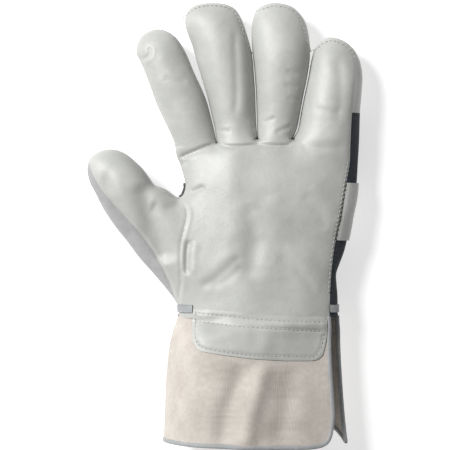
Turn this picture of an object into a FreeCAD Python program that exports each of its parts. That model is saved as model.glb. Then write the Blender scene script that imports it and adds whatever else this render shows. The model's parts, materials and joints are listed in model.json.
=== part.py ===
import FreeCAD, Part
import os
from math import acos, asin, cos, degrees, pi, radians, sin, sqrt

# A left-hand leather palm work glove with a canvas safety cuff, filled out as if on a hand form.
# It lies on its back on the ground: palm up (+Z), fingers towards +Y, thumb towards -X.
# The origin is below the middle of the glove, on the ground. All sizes are in millimetres.

# ---- driving dimensions ------------------------------------------------------------------

# sheet thicknesses
leather = 1.3
lining_cloth = 0.7
drill_cloth = 0.9
canvas = 1.3
tape = 0.8
thread = 0.5

# clearances
hinge_gap = 0.7            # between two pieces that fold against each other
finger_gap = 1.0           # between neighbouring fingers where they are widest
lay_gap = 0.12             # between two sheets that lie on each other

# the hand
knuckle_y = 50.0           # fold line of the four knuckles
wrist_y = -54.0            # fold line between hand and cuff
palm_right = 80.0          # little finger side of the palm at the knuckles
palm_margin = 0.3          # left of the index finger
waist_width = 92.0         # where the elastic pulls the back in
wrist_width = 94.3
palm_depth = 35.0
waist_depth = 32.0
wrist_depth = 34.0
back_height = 0.9          # height of the drill back above the ground under the strap
side_seam_turn = 25.0      # how far the little finger side seam sits round to the front, degrees

# the fingers, from the little finger to the index finger
finger_names = ["little", "ring", "middle", "index"]
base_width = {"little": 36.0, "ring": 20.9, "middle": 22.2, "index": 24.0}
# room on each finger's little finger side, so that one can fold while the next lies still
base_gap = {"little": 0.0, "ring": 2.4, "middle": 1.8, "index": 3.4}
palm_width = sum(base_width.values()) + sum(base_gap.values()) + palm_margin
tip_width = {"little": 30.8, "ring": 32.6, "middle": 32.6, "index": 29.4}
index_spread = 1.6         # the index finger stands this much further off the middle finger
fold_y = {"little": 66.7, "ring": 83.0, "middle": 83.0, "index": 76.0}
widest_y = {"little": 90.5, "ring": 111.5, "middle": 112.0, "index": 98.0}
tip_y = {"little": 112.5, "ring": 132.8, "middle": 133.0, "index": 117.0}
fan_right = 82.4           # right-hand edge of the fanned fingers where they are widest
finger_depth = 29.0
finger_middle_z = 16.5

# the thumb, measured from the middle of its fold line
thumb_lean = 36.6          # degrees from +Y towards -X
thumb_x = -42.4
thumb_y = 3.9
thumb_base_width = 40.0
thumb_width = 31.4
thumb_shift = -4.2         # the crotch side flares, so the shaft sits to the outer side
thumb_fold = 25.0
thumb_shaft = 32.0
thumb_length = 52.5
thumb_depth = 29.0
thumb_root_z = 21.0
thumb_tip_z = 24.0
thumb_hole_y = -15.3       # middle of the thumb's hole in the side of the hand
thumb_hole_length = 62.0
thumb_hole_depth = 33.0
thumb_hole_x = -25.6

# the cuff
cuff_length = 79.0
cuff_mouth_width = 104.8
cuff_mouth_depth = 44.6
cuff_middle_x = 17.0
slit_front_turn = 21.0     # edges of the slit on the little finger side, degrees
slit_back_turn = 357.0
binding_width = 2.6
fold_over = 0.7            # thickness of the binding on each face of the canvas

# trim
strap_low_y = -9.0
strap_high_y = 25.0
strap_end_turn = 11.0      # how far the strap reaches round the little finger side, degrees
strap_left_x = -22.0
strap_stitch_x = 20.0      # the strap is sewn down on its little finger half only
patch_left_x = -19.0
patch_right_x = 60.5
patch_length = 26.0
row_spacing = 4.6          # between the two long rows of stitches on the patch
edge_stitch = 2.0          # stitches sit this far in from an edge
elastic_y = -27.5
elastic_width = 8.0
elastic_left_x = -10.0
tape_width = 5.0
tape_end_turn = 5.0        # how far the tape reaches round the little finger side, degrees
tape_front_x = -19.0       # where the tape ends on the front of the thumb side
lining_margin = 4.0

V = FreeCAD.Vector


# ---- surfaces and sheets -----------------------------------------------------------------

def smooth_face(rows):
    """A cubic face steered by a grid of points."""
    row_degree = min(3, len(rows) - 1)
    column_degree = min(3, len(rows[0]) - 1)
    row_knots, row_mults = clamped_knots(len(rows), row_degree)
    column_knots, column_mults = clamped_knots(len(rows[0]), column_degree)
    surface = Part.BSplineSurface()
    surface.buildFromPolesMultsKnots(rows, row_mults, column_mults, row_knots, column_knots,
                                     False, False, row_degree, column_degree)
    return surface.toShape()


def clamped_knots(count, degree):
    spans = count - degree
    return list(range(spans + 1)), [degree + 1] + [1] * (spans - 1) + [degree + 1]


def sheet(outer_rows, inner_rows):
    """A closed sheet between two faces, with straight rims."""
    outer = smooth_face(outer_rows)
    inner = smooth_face(inner_rows)
    rims = [Part.makeRuledSurface(a, b) for a, b in zip(outer.Edges, inner.Edges)]
    shell = Part.Shell([outer, inner] + rims)
    shell.sewShape()
    solid = Part.Solid(shell)
    if solid.Volume < 0:
        solid.reverse()
    return solid


def spread(first, last, count):
    return [first + (last - first) * k / (count - 1) for k in range(count)]


def between(stations, place):
    """Values read from a list of (place, value, value, ...) stations, straight between them."""
    for low, high in zip(stations, stations[1:]):
        if place >= high[0] or high is stations[-1]:
            share = (place - low[0]) / (high[0] - low[0])
            share = min(max(share, 0.0), 1.0)
            return [a + (b - a) * share for a, b in zip(low[1:], high[1:])]


# ---- the hand ----------------------------------------------------------------------------

# y, right-hand edge, width, depth and height of the underside
hand_stations = [
    (knuckle_y, palm_right, palm_width, palm_depth - 2.0, back_height + 0.4),
    (strap_high_y - 5.0, palm_right - 1.7, palm_width - 8.5, palm_depth, back_height),
    (strap_low_y, palm_right - 7.0, palm_width - 12.5, palm_depth + 1.0, back_height),
    (elastic_y, palm_right - 14.0, waist_width, waist_depth, back_height + 4.0),
    (elastic_y - 14.0, palm_right - 13.2, wrist_width, wrist_depth, back_height + 3.0),
    (wrist_y, palm_right - 13.0, wrist_width, wrist_depth, back_height + 3.0),
]


def thumb_hole_share(y):
    """Height of the thumb's hole at y, as a share of its full height."""
    along = (y - thumb_hole_y) / (thumb_hole_length / 2)
    return sqrt(max(0.0, 1.0 - along * along))


def hand_point(y, share, front, offset):
    """A point round the hand: share runs from the little finger side seam to the thumb side."""
    right, width, depth, bottom = between(hand_stations, y)
    half_width = width / 2
    half_depth = depth / 2
    middle_x = right - half_width
    opening = thumb_hole_share(y) * min(thumb_hole_depth / 2, half_depth - 1.0)
    end_turn = asin(min(opening / half_depth, 0.98))
    first = radians(side_seam_turn)
    last = pi - end_turn if front else end_turn - pi
    turn = first + (last - first) * share
    if cos(turn) < 0:
        reach = (middle_x - min(middle_x - half_width, thumb_hole_x)) / cos(end_turn)
        towards_hole = abs(cos(turn)) / cos(end_turn)
        half_width += (reach - half_width) * towards_hole
    x = middle_x + (half_width + offset) * cos(turn)
    z = bottom + half_depth + (half_depth + offset) * sin(turn)
    return V(x, y, z)


def hand_sheet(first, last, columns, front, outer, inner):
    shares = spread(first, last, columns)
    places = spread(hand_low, hand_high, 12)
    outer_rows = [[hand_point(y, share, front, outer) for share in shares] for y in places]
    inner_rows = [[hand_point(y, share, front, inner) for share in shares] for y in places]
    return sheet(outer_rows, inner_rows)


def hand_layer(front, outer, inner):
    """A sheet over the whole front or back of the hand, between two offsets from its surface."""
    return hand_sheet(0, 1, 13, front, outer, inner)


def cut_to(solid, x, y, z=(0, 100)):
    """The part of a solid inside a box given by its ranges."""
    corner = V(x[0], y[0], z[0])
    box = Part.makeBox(x[1] - x[0], y[1] - y[0], z[1] - z[0], corner)
    return solid.common(box).Solids[0]


def seam_height(y, turn):
    """Height of the little finger side at y, where it is turned up by so many degrees."""
    _, _, depth, bottom = between(hand_stations, y)
    return bottom + depth / 2 * (1 + sin(radians(turn)))


# ---- fingers and thumb -------------------------------------------------------------------

def finger_stations():
    """Middle and half width of each finger where it is widest and at the knuckles."""
    result = {}
    base_right = palm_right
    widest_right = fan_right
    seam_room = 2 * (lay_gap + thread)
    for name in finger_names:
        base_right -= base_gap[name]
        base_left = base_right - base_width[name]
        if name == "index":
            widest_right -= index_spread
        widest_left = widest_right - tip_width[name]
        result[name] = [
            (widest_y[name], (widest_left + widest_right) / 2, tip_width[name] / 2),
            (knuckle_y, (base_left + base_right) / 2, base_width[name] / 2),
        ]
        base_right = base_left
        widest_right = widest_left - finger_gap - seam_room
    return result


def finger_place(point):
    return point


def thumb_place(point):
    lean = radians(thumb_lean)
    along = V(-sin(lean), cos(lean), 0)
    across = V(cos(lean), sin(lean), 0)
    return V(thumb_x, thumb_y, point.z) + along * point.y + across * point.x


thumb_stations = [
    (thumb_shaft, thumb_shift, thumb_width / 2),
    (16.0, thumb_shift, thumb_width / 2 + 0.4),
    (8.0, thumb_shift * 0.7, (thumb_width + thumb_base_width) / 4),
    (0.0, 0.0, thumb_base_width / 2),
]


def digit_rows(digit, start, stop, turns, inset):
    """Rows of points round a digit; a row past the shaft's end closes in to the tip."""
    shaft = digit["shaft"]
    end = digit["end"] - inset
    if stop < shaft:
        places = [(y, 1.0) for y in spread(start, stop, 4)]
    else:
        places = [(y, 1.0) for y in spread(start, shaft, 4)]
        for quarter in (0.3, 0.5, 0.68, 0.84, 1.0):
            angle = quarter * pi / 2
            places.append((shaft + (end - shaft) * sin(angle), max(cos(angle), 0.0)))
    rows = []
    for y, closing in places:
        middle, half_width = between(digit["stations"], min(y, shaft))
        lean = digit["tip_shift"] * (1.0 - closing)
        share = min(max((y - digit["start"]) / (digit["end"] - digit["start"]), 0.0), 1.0)
        middle_z = digit["root_z"] + (digit["tip_z"] - digit["root_z"]) * share
        half_depth = digit["depth"] / 2 - inset
        width_here = (half_width - inset) * (0.28 + 0.72 * closing)
        row = []
        for turn in turns:
            across = middle + lean + width_here * cos(radians(turn))
            up = middle_z + half_depth * closing * sin(radians(turn))
            row.append(digit["place"](V(across, y, up)))
        rows.append(row)
    return rows


def digit_sheet(digit, start, stop, first_turn, last_turn, thickness):
    turns = spread(first_turn, last_turn, 9)
    outer = digit_rows(digit, start, stop, turns, 0.0)
    inner = digit_rows(digit, start, stop, turns, thickness)
    return sheet(outer, inner)


def tip_thread(digit, start):
    """The line of sewing that shows round a digit's tip, just outside the seam."""
    shaft = digit["shaft"]
    outline = []
    for turn in (digit["seam"], 180):
        rows = digit_rows(digit, start, digit["end"], [turn], -lay_gap)
        outline.append([row[0] for row in rows])
    path = outline[0] + outline[1][::-1]
    middle = digit["place"](V(between(digit["stations"], shaft)[0], shaft, path[0].z))
    rows_out = []
    rows_in = []
    for rise in (-thread, thread):
        low = []
        high = []
        for point in path:
            away = V(point.x - middle.x, point.y - middle.y, 0)
            if away.Length > 0:
                away.normalize()
            low.append(point + V(0, 0, rise))
            high.append(point + away * thread + V(0, 0, rise))
        rows_in.append(low)
        rows_out.append(high)
    return sheet(rows_out, rows_in)


# ---- thumb root --------------------------------------------------------------------------

def thumb_root_sheet(front, thickness):
    """The gusset from the thumb's hole in the hand to the thumb's fold line."""
    side = 1 if front else -1
    hole_right, hole_width, hole_depth, hole_bottom = between(hand_stations, thumb_hole_y)
    hole_z = hole_bottom + hole_depth / 2
    outer_rows = []
    inner_rows = []
    for share in (0.0, 0.35, 0.7, 1.0):
        outer_row = []
        inner_row = []
        for turn in spread(0, 180, 11):
            for row, inset in ((outer_row, 0.0), (inner_row, thickness)):
                at_hand = V(thumb_hole_x - hinge_gap,
                            thumb_hole_y + (thumb_hole_length / 2 - inset) * cos(radians(turn)),
                            hole_z + side * (thumb_hole_depth / 2 - inset) * sin(radians(turn)))
                at_fold = thumb_place(V((thumb_base_width / 2 - inset) * cos(radians(turn)),
                                        -hinge_gap / 2,
                                        thumb_root_z + side * (thumb_depth / 2 - inset)
                                        * sin(radians(turn))))
                row.append(at_hand + (at_fold - at_hand) * share)
        outer_rows.append(outer_row)
        inner_rows.append(inner_row)
    return sheet(outer_rows, inner_rows)


# ---- the cuff ----------------------------------------------------------------------------

def cuff_point(y, turn, offset):
    share = (wrist_y - y) / cuff_length
    widen = 1 - (1 - share) ** 2
    half_width = (wrist_width + (cuff_mouth_width - wrist_width) * widen) / 2
    half_depth = (wrist_depth + 1.0 + (cuff_mouth_depth - wrist_depth - 1.0) * widen) / 2
    hand_right, hand_width, hand_depth, hand_bottom = between(hand_stations, wrist_y)
    wrist_middle = hand_right - hand_width / 2
    middle_x = wrist_middle + (cuff_middle_x - wrist_middle) * widen
    wrist_z = hand_bottom + hand_depth / 2
    mouth_z = fold_over + lay_gap + thread + cuff_mouth_depth / 2
    middle_z = wrist_z + (mouth_z - wrist_z) * widen
    return V(middle_x + (half_width + offset) * cos(radians(turn)), y,
             middle_z + (half_depth + offset) * sin(radians(turn)))


def cuff_sheet(low_y, high_y, first_turn, last_turn, columns, outer, inner):
    turns = spread(first_turn, last_turn, columns)
    places = spread(low_y, high_y, 5)
    outer_rows = [[cuff_point(y, turn, outer) for turn in turns] for y in places]
    inner_rows = [[cuff_point(y, turn, inner) for turn in turns] for y in places]
    return sheet(outer_rows, inner_rows)


def cuff_turn_at(x, y):
    """Turn round the front of the cuff where it is x across."""
    middle = cuff_point(y, 90, 0).x
    half = cuff_point(y, 0, 0).x - middle
    return degrees(acos(max(-0.98, min(0.98, (x - middle) / half))))


# ---- build -------------------------------------------------------------------------------

nodes = {}
hand_low = wrist_y + hinge_gap / 2
hand_high = knuckle_y - hinge_gap / 2
left = -100.0              # past the glove on both sides
right = 100.0

nodes["palm_leather"] = hand_layer(True, 0, -leather)
lining_out = -leather - lay_gap
nodes["palm_lining"] = cut_to(hand_layer(True, lining_out, lining_out - lining_cloth),
                              (left, right), (hand_low + lining_margin, hand_high - lining_margin))
nodes["back_panel"] = hand_layer(False, 0, -drill_cloth)

strap_x = (strap_left_x, right)
strap_z = (0, seam_height(strap_low_y, strap_end_turn))
strap = hand_layer(False, lay_gap + leather, lay_gap)
nodes["knuckle_strap"] = cut_to(strap, strap_x, (strap_low_y, strap_high_y), strap_z)

strap_face = lay_gap + leather
strap_stitches = hand_layer(False, strap_face + lay_gap + thread, strap_face + lay_gap)
row_x = (strap_stitch_x, right)
row_z = (0, strap_z[1] - edge_stitch)
nodes["strap_thread"] = Part.makeCompound([
    cut_to(strap_stitches, row_x, (row_y - thread / 2, row_y + thread / 2), row_z)
    for row_y in (strap_low_y + edge_stitch, strap_high_y - edge_stitch)])

elastic_out = -drill_cloth - lay_gap
elastic_rows = (elastic_y - elastic_width / 2, elastic_y + elastic_width / 2)
nodes["wrist_elastic"] = cut_to(hand_layer(False, elastic_out, elastic_out - tape),
                                (elastic_left_x, right), elastic_rows,
                                (0, seam_height(elastic_y, 0)))

tape_rows = (hand_low - 1.0, hand_low + tape_width)
nodes["wrist_tape"] = cut_to(hand_layer(False, lay_gap + tape, lay_gap), (left, right), tape_rows,
                             (0, seam_height(wrist_y, tape_end_turn)))
nodes["wrist_tape_front"] = cut_to(hand_layer(True, lay_gap + tape, lay_gap),
                                   (left, tape_front_x), tape_rows)

nodes["side_seam_thread"] = hand_sheet(0.008, 0.02, 2, True, lay_gap + thread, lay_gap)

nodes["thumb_root_front"] = thumb_root_sheet(True, leather)
nodes["thumb_root_back"] = thumb_root_sheet(False, leather)

stations = finger_stations()
digits = {}
for name in finger_names:
    digits[name] = {
        "stations": stations[name], "start": knuckle_y, "fold": fold_y[name],
        "shaft": widest_y[name], "end": tip_y[name], "depth": finger_depth,
        "root_z": finger_middle_z, "tip_z": finger_middle_z, "tip_shift": 0.0,
        "place": finger_place, "seam": side_seam_turn if name == "little" else 0.0,
        "back": leather if name == "index" else drill_cloth,
    }
digits["little"]["tip_shift"] = -2.5
digits["thumb"] = {
    "stations": thumb_stations, "start": 0.0, "fold": thumb_fold, "shaft": thumb_shaft,
    "end": thumb_length, "depth": thumb_depth, "root_z": thumb_root_z, "tip_z": thumb_tip_z,
    "tip_shift": 4.0, "place": thumb_place, "seam": 0.0, "back": leather,
}

for name, digit in digits.items():
    seam = digit["seam"]
    low = digit["start"] + hinge_gap / 2
    fold = digit["fold"]
    below = fold - hinge_gap / 2
    above = fold + hinge_gap / 2
    end = digit["end"]
    cap = "thumb_back_tip" if name == "thumb" else name + "_tip_cap"
    nodes[name + "_front_lower"] = digit_sheet(digit, low, below, seam, 180, leather)
    nodes[name + "_front_tip"] = digit_sheet(digit, above, end, seam, 180, leather)
    nodes[name + "_back_lower"] = digit_sheet(digit, low, below, 180, 360 + seam, digit["back"])
    nodes[cap] = digit_sheet(digit, above, end, 180, 360 + seam, leather)
    nodes[name + "_tip_thread"] = tip_thread(digit, above + 1.0)

cuff_high = wrist_y - hinge_gap / 2
cuff_low = wrist_y - cuff_length
hem_y = cuff_low + binding_width
nodes["cuff_canvas"] = cuff_sheet(hem_y, cuff_high, slit_front_turn, slit_back_turn, 25, 0, -canvas)

edge_turn = degrees(binding_width / (cuff_mouth_width / 2)) * 1.6
bindings = [
    cuff_sheet(cuff_low, hem_y - 0.02, slit_front_turn, slit_back_turn, 25,
               fold_over, -canvas - fold_over),
    cuff_sheet(cuff_low, cuff_high, slit_front_turn - edge_turn, slit_front_turn - 0.05, 3,
               fold_over, -canvas - fold_over),
    cuff_sheet(cuff_low, cuff_high, slit_back_turn + 0.05, slit_back_turn + edge_turn, 3,
               fold_over, -canvas - fold_over),
]
nodes["cuff_binding"] = Part.makeCompound(bindings)

patch_high = cuff_high
patch_low = patch_high - patch_length
patch_first = cuff_turn_at(patch_right_x, patch_low)
patch_last = cuff_turn_at(patch_left_x, patch_low)
patch_out = lay_gap + leather
nodes["pulse_patch"] = cuff_sheet(patch_low, patch_high, patch_first, patch_last, 11,
                                  patch_out, lay_gap)
row_out = patch_out + lay_gap
patch_rows = []
for row_y in (patch_high - 2.0, patch_high - 2.0 - row_spacing, patch_low + edge_stitch):
    patch_rows.append(cuff_sheet(row_y - thread / 2, row_y + thread / 2, patch_first + 3,
                                 patch_last - 3, 11, row_out + thread, row_out))
nodes["patch_thread"] = Part.makeCompound(patch_rows)
nodes["binding_thread"] = cuff_sheet(cuff_low + 1.1, cuff_low + 1.1 + thread,
                                     slit_front_turn + 2, slit_back_turn - 2, 25,
                                     fold_over + lay_gap + thread, fold_over + lay_gap)

# ---- export ------------------------------------------------------------------------------

os.makedirs("parts", exist_ok=True)
whole = Part.makeCompound(list(nodes.values()))
for node, shape in nodes.items():
    shape.exportStep("parts/" + node + ".step")
    print(node, "valid", shape.isValid(), "solids", len(shape.Solids), "volume", round(shape.Volume))
box = whole.optimalBoundingBox(False)
print("box x", round(box.XMin, 2), round(box.XMax, 2), "y", round(box.YMin, 2), round(box.YMax, 2),
      "z", round(box.ZMin, 2), round(box.ZMax, 2))
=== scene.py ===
"""A left-hand leather palm work glove with a cloth back and a canvas cuff.

It lies on its back, palm up. The hand is one closed skin, triangulated over its outline, swelled
from the middle plane and then cut into its sewn pieces, so that the pieces meet without a gap.
Places and sizes are in millimetres until a mesh is made.
"""

import json
import math

import bpy
import bmesh
import numpy as np
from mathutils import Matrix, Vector, noise
from mathutils.geometry import delaunay_2d_cdt
from mathutils.kdtree import KDTree


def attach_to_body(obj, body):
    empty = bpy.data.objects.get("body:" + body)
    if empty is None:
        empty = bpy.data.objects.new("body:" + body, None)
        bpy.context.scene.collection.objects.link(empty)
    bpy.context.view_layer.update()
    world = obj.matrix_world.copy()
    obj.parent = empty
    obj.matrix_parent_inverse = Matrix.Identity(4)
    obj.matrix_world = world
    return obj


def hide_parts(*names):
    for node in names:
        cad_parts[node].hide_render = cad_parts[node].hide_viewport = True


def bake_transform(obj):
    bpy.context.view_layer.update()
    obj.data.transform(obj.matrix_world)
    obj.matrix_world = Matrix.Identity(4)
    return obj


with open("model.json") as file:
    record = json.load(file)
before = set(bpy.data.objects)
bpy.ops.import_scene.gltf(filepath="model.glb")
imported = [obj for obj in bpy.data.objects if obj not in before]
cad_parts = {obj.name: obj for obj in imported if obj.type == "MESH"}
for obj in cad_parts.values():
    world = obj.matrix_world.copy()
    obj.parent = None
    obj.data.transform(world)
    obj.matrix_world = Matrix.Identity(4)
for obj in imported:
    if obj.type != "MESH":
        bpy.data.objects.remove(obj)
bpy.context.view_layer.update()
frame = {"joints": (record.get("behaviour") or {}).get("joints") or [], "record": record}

MM = 0.001
JOINTS = {joint["name"]: joint for joint in frame["joints"]}
FINGERS = ("index", "middle", "ring", "little")
DIGITS = FINGERS + ("thumb",)

# ---- sizes ---------------------------------------------------------------------------------

GRID_STEP = 1.05          # spacing of the skin's points
EDGE_STEP = 1.0           # spacing along the outline
EDGE_RINGS = (0.04, 0.16, 0.36, 0.65, 1.0, 1.45)      # rows that follow the outline, distance in
LEATHER = 1.2
CLOTH = 0.8
CANVAS = 1.3
STRAP = 1.3
TAPE = 0.8
WRIST_Y = JOINTS["cuff_fold"]["pos_m"][1] / MM

# ---- outlines of the hand, from the wrist round the thumb and the fingers -------------------

THUMB_OUTLINE = [(-27.3, -55), (-27.8, -49), (-30, -44.5), (-35, -38), (-43, -28.5), (-51, -19.5),
                 (-58.5, -9.5), (-66, 0), (-72.5, 10), (-77, 19), (-80.5, 26), (-81.8, 33.5),
                 (-80, 39.5), (-76, 43), (-70, 44.8), (-64, 44.5), (-58.5, 42), (-53.5, 38),
                 (-48.5, 33), (-44.5, 27.5), (-42, 24), (-38, 22.5), (-34, 20.5), (-30, 17.5),
                 (-27, 16.3)]
INDEX_OUTLINE = [(-27, 16.3), (-25, 18), (-23.7, 22), (-23.8, 26), (-25.5, 32), (-27, 37),
                 (-28.3, 39.5), (-29.2, 43), (-30.5, 50), (-36, 62), (-40.5, 71.5), (-44, 81),
                 (-47.5, 90.5), (-51, 98.5), (-52.8, 102), (-52.6, 106), (-50.5, 111.5),
                 (-46.5, 115), (-41, 116.8), (-35.5, 116), (-30.5, 113), (-27, 109), (-23, 102),
                 (-18.6, 91.5), (-13.6, 80.5), (-10.7, 73), (-8.7, 65.5), (-6.6, 57), (-5, 49)]
MIDDLE_OUTLINE = [(-5, 49), (-6, 57), (-8, 66), (-10.3, 75.5), (-13, 84.5), (-16.5, 96),
                  (-19.5, 107), (-22.7, 115.5), (-23.8, 122), (-21.5, 128.3), (-16, 131.5),
                  (-8, 132.6), (0.5, 131.7), (6.5, 128.5), (10.5, 121.5), (13.3, 113),
                  (16, 102.5), (17.2, 90.5), (18, 77), (18.5, 62), (19.3, 51.5)]
RING_OUTLINE = [(19.3, 51.5), (19.1, 62), (18.6, 77), (17.7, 90.5), (16.5, 102.5), (15.9, 112),
                (16.2, 120.5), (18.3, 127.5), (23, 131.2), (30, 132.6), (38, 131.2), (43, 128),
                (48, 121), (50.3, 111), (50.7, 100), (49, 88), (46.7, 77), (44.7, 66.5),
                (43, 58), (40.5, 51.5)]
LITTLE_OUTLINE = [(40.5, 51.5), (43.6, 57), (45.3, 66.5), (47.3, 76.5), (49.6, 87.5), (51.3, 97),
                  (53, 103.5), (56.3, 108.7), (60, 111.3), (63.8, 112), (69, 110.8), (74, 107.8),
                  (78, 103.2), (80.7, 97), (82, 89.3), (81.6, 80), (80.6, 67.5), (80, 50),
                  (79.2, 36.5)]
SIDE_OUTLINE = [(79.2, 36.5), (78.5, 25), (77.5, 15.5), (75.5, 6), (73.5, -5), (71, -15.5),
                (67.8, -24), (66.2, -29), (66.4, -35), (67, -43), (67, -55)]
OUTLINES = [THUMB_OUTLINE, INDEX_OUTLINE, MIDDLE_OUTLINE, RING_OUTLINE, LITTLE_OUTLINE,
            SIDE_OUTLINE]

# ---- seams ---------------------------------------------------------------------------------

SIDE_SEAM = [(79.3, 101), (78.3, 96), (77.5, 88), (76.6, 78), (75.3, 66.5), (74.5, 51),
             (74, 36.5), (72, 25), (69, 7), (65.7, -9), (63.7, -22.5), (62.3, -39.5), (61.8, -56)]
THUMB_SEAM = [(-81, 38.5), (-78.7, 31), (-74, 22.5), (-67, 13.5), (-59.5, 5.5), (-51.5, -3.5),
              (-44.5, -12.5), (-38.5, -22.5), (-33, -34), (-29.5, -45.5), (-28.3, -55)]
WING_SEAM = [(-27.5, 17.5), (-23.5, 11), (-22.5, 5), (-24.5, -4), (-26.2, -12), (-26.6, -22),
             (-26, -33), (-27.5, -44), (-27.8, -52)]
BASE_SEAM = [(-5, 49), (-4, 47.8), (-1.5, 47), (3, 46.6), (11, 46.8), (19, 47.7), (28, 47.4),
             (36, 47.2), (39, 48.7), (40.5, 51.5)]
INDEX_CREASE = [(-31, 39.3), (-25, 40.8), (-18, 43.8), (-12, 46.5), (-5, 49)]
LITTLE_BASE = [(38.2, 48.75), (50, 48.6), (65, 48.5), (83, 48.5)]
MIDDLE_RING_LINK = [(19.3, 51.5), (19.3, 47)]
STRAP_LOW = -9.0
STRAP_HIGH = 25.0
TAPE_LOW = -51.8
TAPE_HIGH = -47.3
TAPE_END_X = -19.0
KNUCKLE_LINE = INDEX_CREASE[:-1] + BASE_SEAM[1:-1] + LITTLE_BASE[1:]
CROSS_LINES = [[(-60, STRAP_LOW), (90, STRAP_LOW)], [(-60, STRAP_HIGH), (90, STRAP_HIGH)],
               [(-40, TAPE_LOW), (75, TAPE_LOW)], [(-40, TAPE_HIGH), (75, TAPE_HIGH)],
               [(TAPE_END_X, TAPE_HIGH + 0.5), (TAPE_END_X, TAPE_LOW - 0.5)]]


def fold_line(digit):
    """The line across a digit at its middle joint, from edge to edge of its own outline."""
    joint = JOINTS[digit + "_middle"]
    centre = np.array(joint["pos_m"][:2]) / MM
    across = np.array(joint["axis"][:2])
    outline = smooth_path({"thumb": THUMB_OUTLINE, "index": INDEX_OUTLINE,
                           "middle": MIDDLE_OUTLINE, "ring": RING_OUTLINE,
                           "little": LITTLE_OUTLINE}[digit], 0.5)
    rel = outline - centre
    along = rel @ np.array((-across[1], across[0]))
    place = rel @ across
    crossing = np.nonzero(np.diff(np.sign(along)))[0]
    places = [place[k] + (place[k + 1] - place[k]) * along[k] / (along[k] - along[k + 1])
              for k in crossing]
    first = max(x for x in places if x < 0)
    last = min(x for x in places if x > 0)
    return [tuple(centre + across * (first - 0.2)), tuple(centre + across * (last + 0.2))]


def thumb_base_line():
    joint = JOINTS["thumb_base"]
    centre = np.array(joint["pos_m"][:2]) / MM
    across = np.array(joint["axis"][:2])
    return [tuple(centre - across * 24), tuple(centre + across * 23)]


TIP_SEAMS = {
    "middle": [(-25, 124.5), (-21.5, 127.2), (-16, 130.3), (-8, 131.3), (0.3, 130.4),
               (5.6, 127.5), (9.5, 121), (12.3, 113), (16.6, 103)],
    "ring": [(17.5, 128.5), (21, 128.8), (24.5, 130.1), (30, 131.2), (37.5, 129.8), (42, 126.8),
             (46.6, 120), (49, 111), (51.5, 105)],
    "little": [(50.5, 104.5), (54, 105.5), (57, 108.2), (60.5, 110.1), (64, 110.4), (68.5, 109.2),
               (73, 106.2), (76.7, 102), (79.3, 95.5)],
}

# ---- small helpers -------------------------------------------------------------------------


def smooth_path(points, step):
    """A smooth line through given points, with even steps."""
    pts = np.array(points, float)
    if len(pts) > 2:
        ends = np.vstack([2 * pts[0] - pts[1], pts, 2 * pts[-1] - pts[-2]])
        t = np.linspace(0, 1, 24, endpoint=False)[:, None]
        parts = []
        for k in range(len(pts) - 1):
            a, b, c, d = ends[k:k + 4]
            parts.append(0.5 * (2 * b + (c - a) * t + (2 * a - 5 * b + 4 * c - d) * t ** 2
                                + (3 * b - a - 3 * c + d) * t ** 3))
        pts = np.vstack(parts + [pts[-1:]])
    length = np.concatenate([[0], np.cumsum(np.linalg.norm(np.diff(pts, axis=0), axis=1))])
    count = max(2, int(round(length[-1] / step)) + 1)
    at = np.linspace(0, length[-1], count)
    return np.column_stack([np.interp(at, length, pts[:, i]) for i in range(pts.shape[1])])


def to_line(points, line):
    """Distance from points to a line of points, the share along it, and the side (+ on the left)."""
    best = np.full(len(points), 1e9)
    share = np.zeros(len(points))
    side = np.zeros(len(points))
    lengths = np.linalg.norm(np.diff(line, axis=0), axis=1)
    total = lengths.sum()
    start = 0.0
    for a, b, length in zip(line[:-1], line[1:], lengths):
        d = (b - a) / max(length, 1e-9)
        rel = points - a
        along = np.clip(rel @ d, 0, length)
        off = rel - along[:, None] * d
        dist = np.hypot(off[:, 0], off[:, 1])
        closer = dist < best
        best[closer] = dist[closer]
        share[closer] = (start + along[closer]) / total
        cross = d[0] * rel[:, 1] - d[1] * rel[:, 0]
        side[closer] = np.sign(cross[closer])
        start += length
    return best, share, side


def inside(points, loop):
    """Which points lie inside a closed loop."""
    x, y = points[:, 0], points[:, 1]
    result = np.zeros(len(points), bool)
    for (x0, y0), (x1, y1) in zip(loop, np.roll(loop, -1, axis=0)):
        crosses = (y0 > y) != (y1 > y)
        if y1 != y0:
            result ^= crosses & (x < (x1 - x0) * (y - y0) / (y1 - y0) + x0)
    return result


def ease(value, low, high):
    """0 below low, 1 above high, smooth between."""
    t = np.clip((value - low) / (high - low), 0, 1)
    return t * t * (3 - 2 * t)


def through(places, values, at):
    """Smooth values between stations."""
    places = np.array(places, float)
    values = np.array(values, float)
    k = np.clip(np.searchsorted(places, at) - 1, 0, len(places) - 2)
    t = np.clip((at - places[k]) / (places[k + 1] - places[k]), 0, 1)
    t = t * t * (3 - 2 * t)
    return values[k] * (1 - t) + values[k + 1] * t


# ---- the flat pattern: points and triangles over the outline -------------------------------


def facing_up(xy, tris):
    """Triangles all turned to face up, without the ones that have no area."""
    a, b, c = xy[tris[:, 0]], xy[tris[:, 1]], xy[tris[:, 2]]
    area = (b[:, 0] - a[:, 0]) * (c[:, 1] - a[:, 1]) - (b[:, 1] - a[:, 1]) * (c[:, 0] - a[:, 0])
    tris[area < 0] = tris[area < 0][:, ::-1]
    return tris[np.abs(area) > 1e-7]


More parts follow.
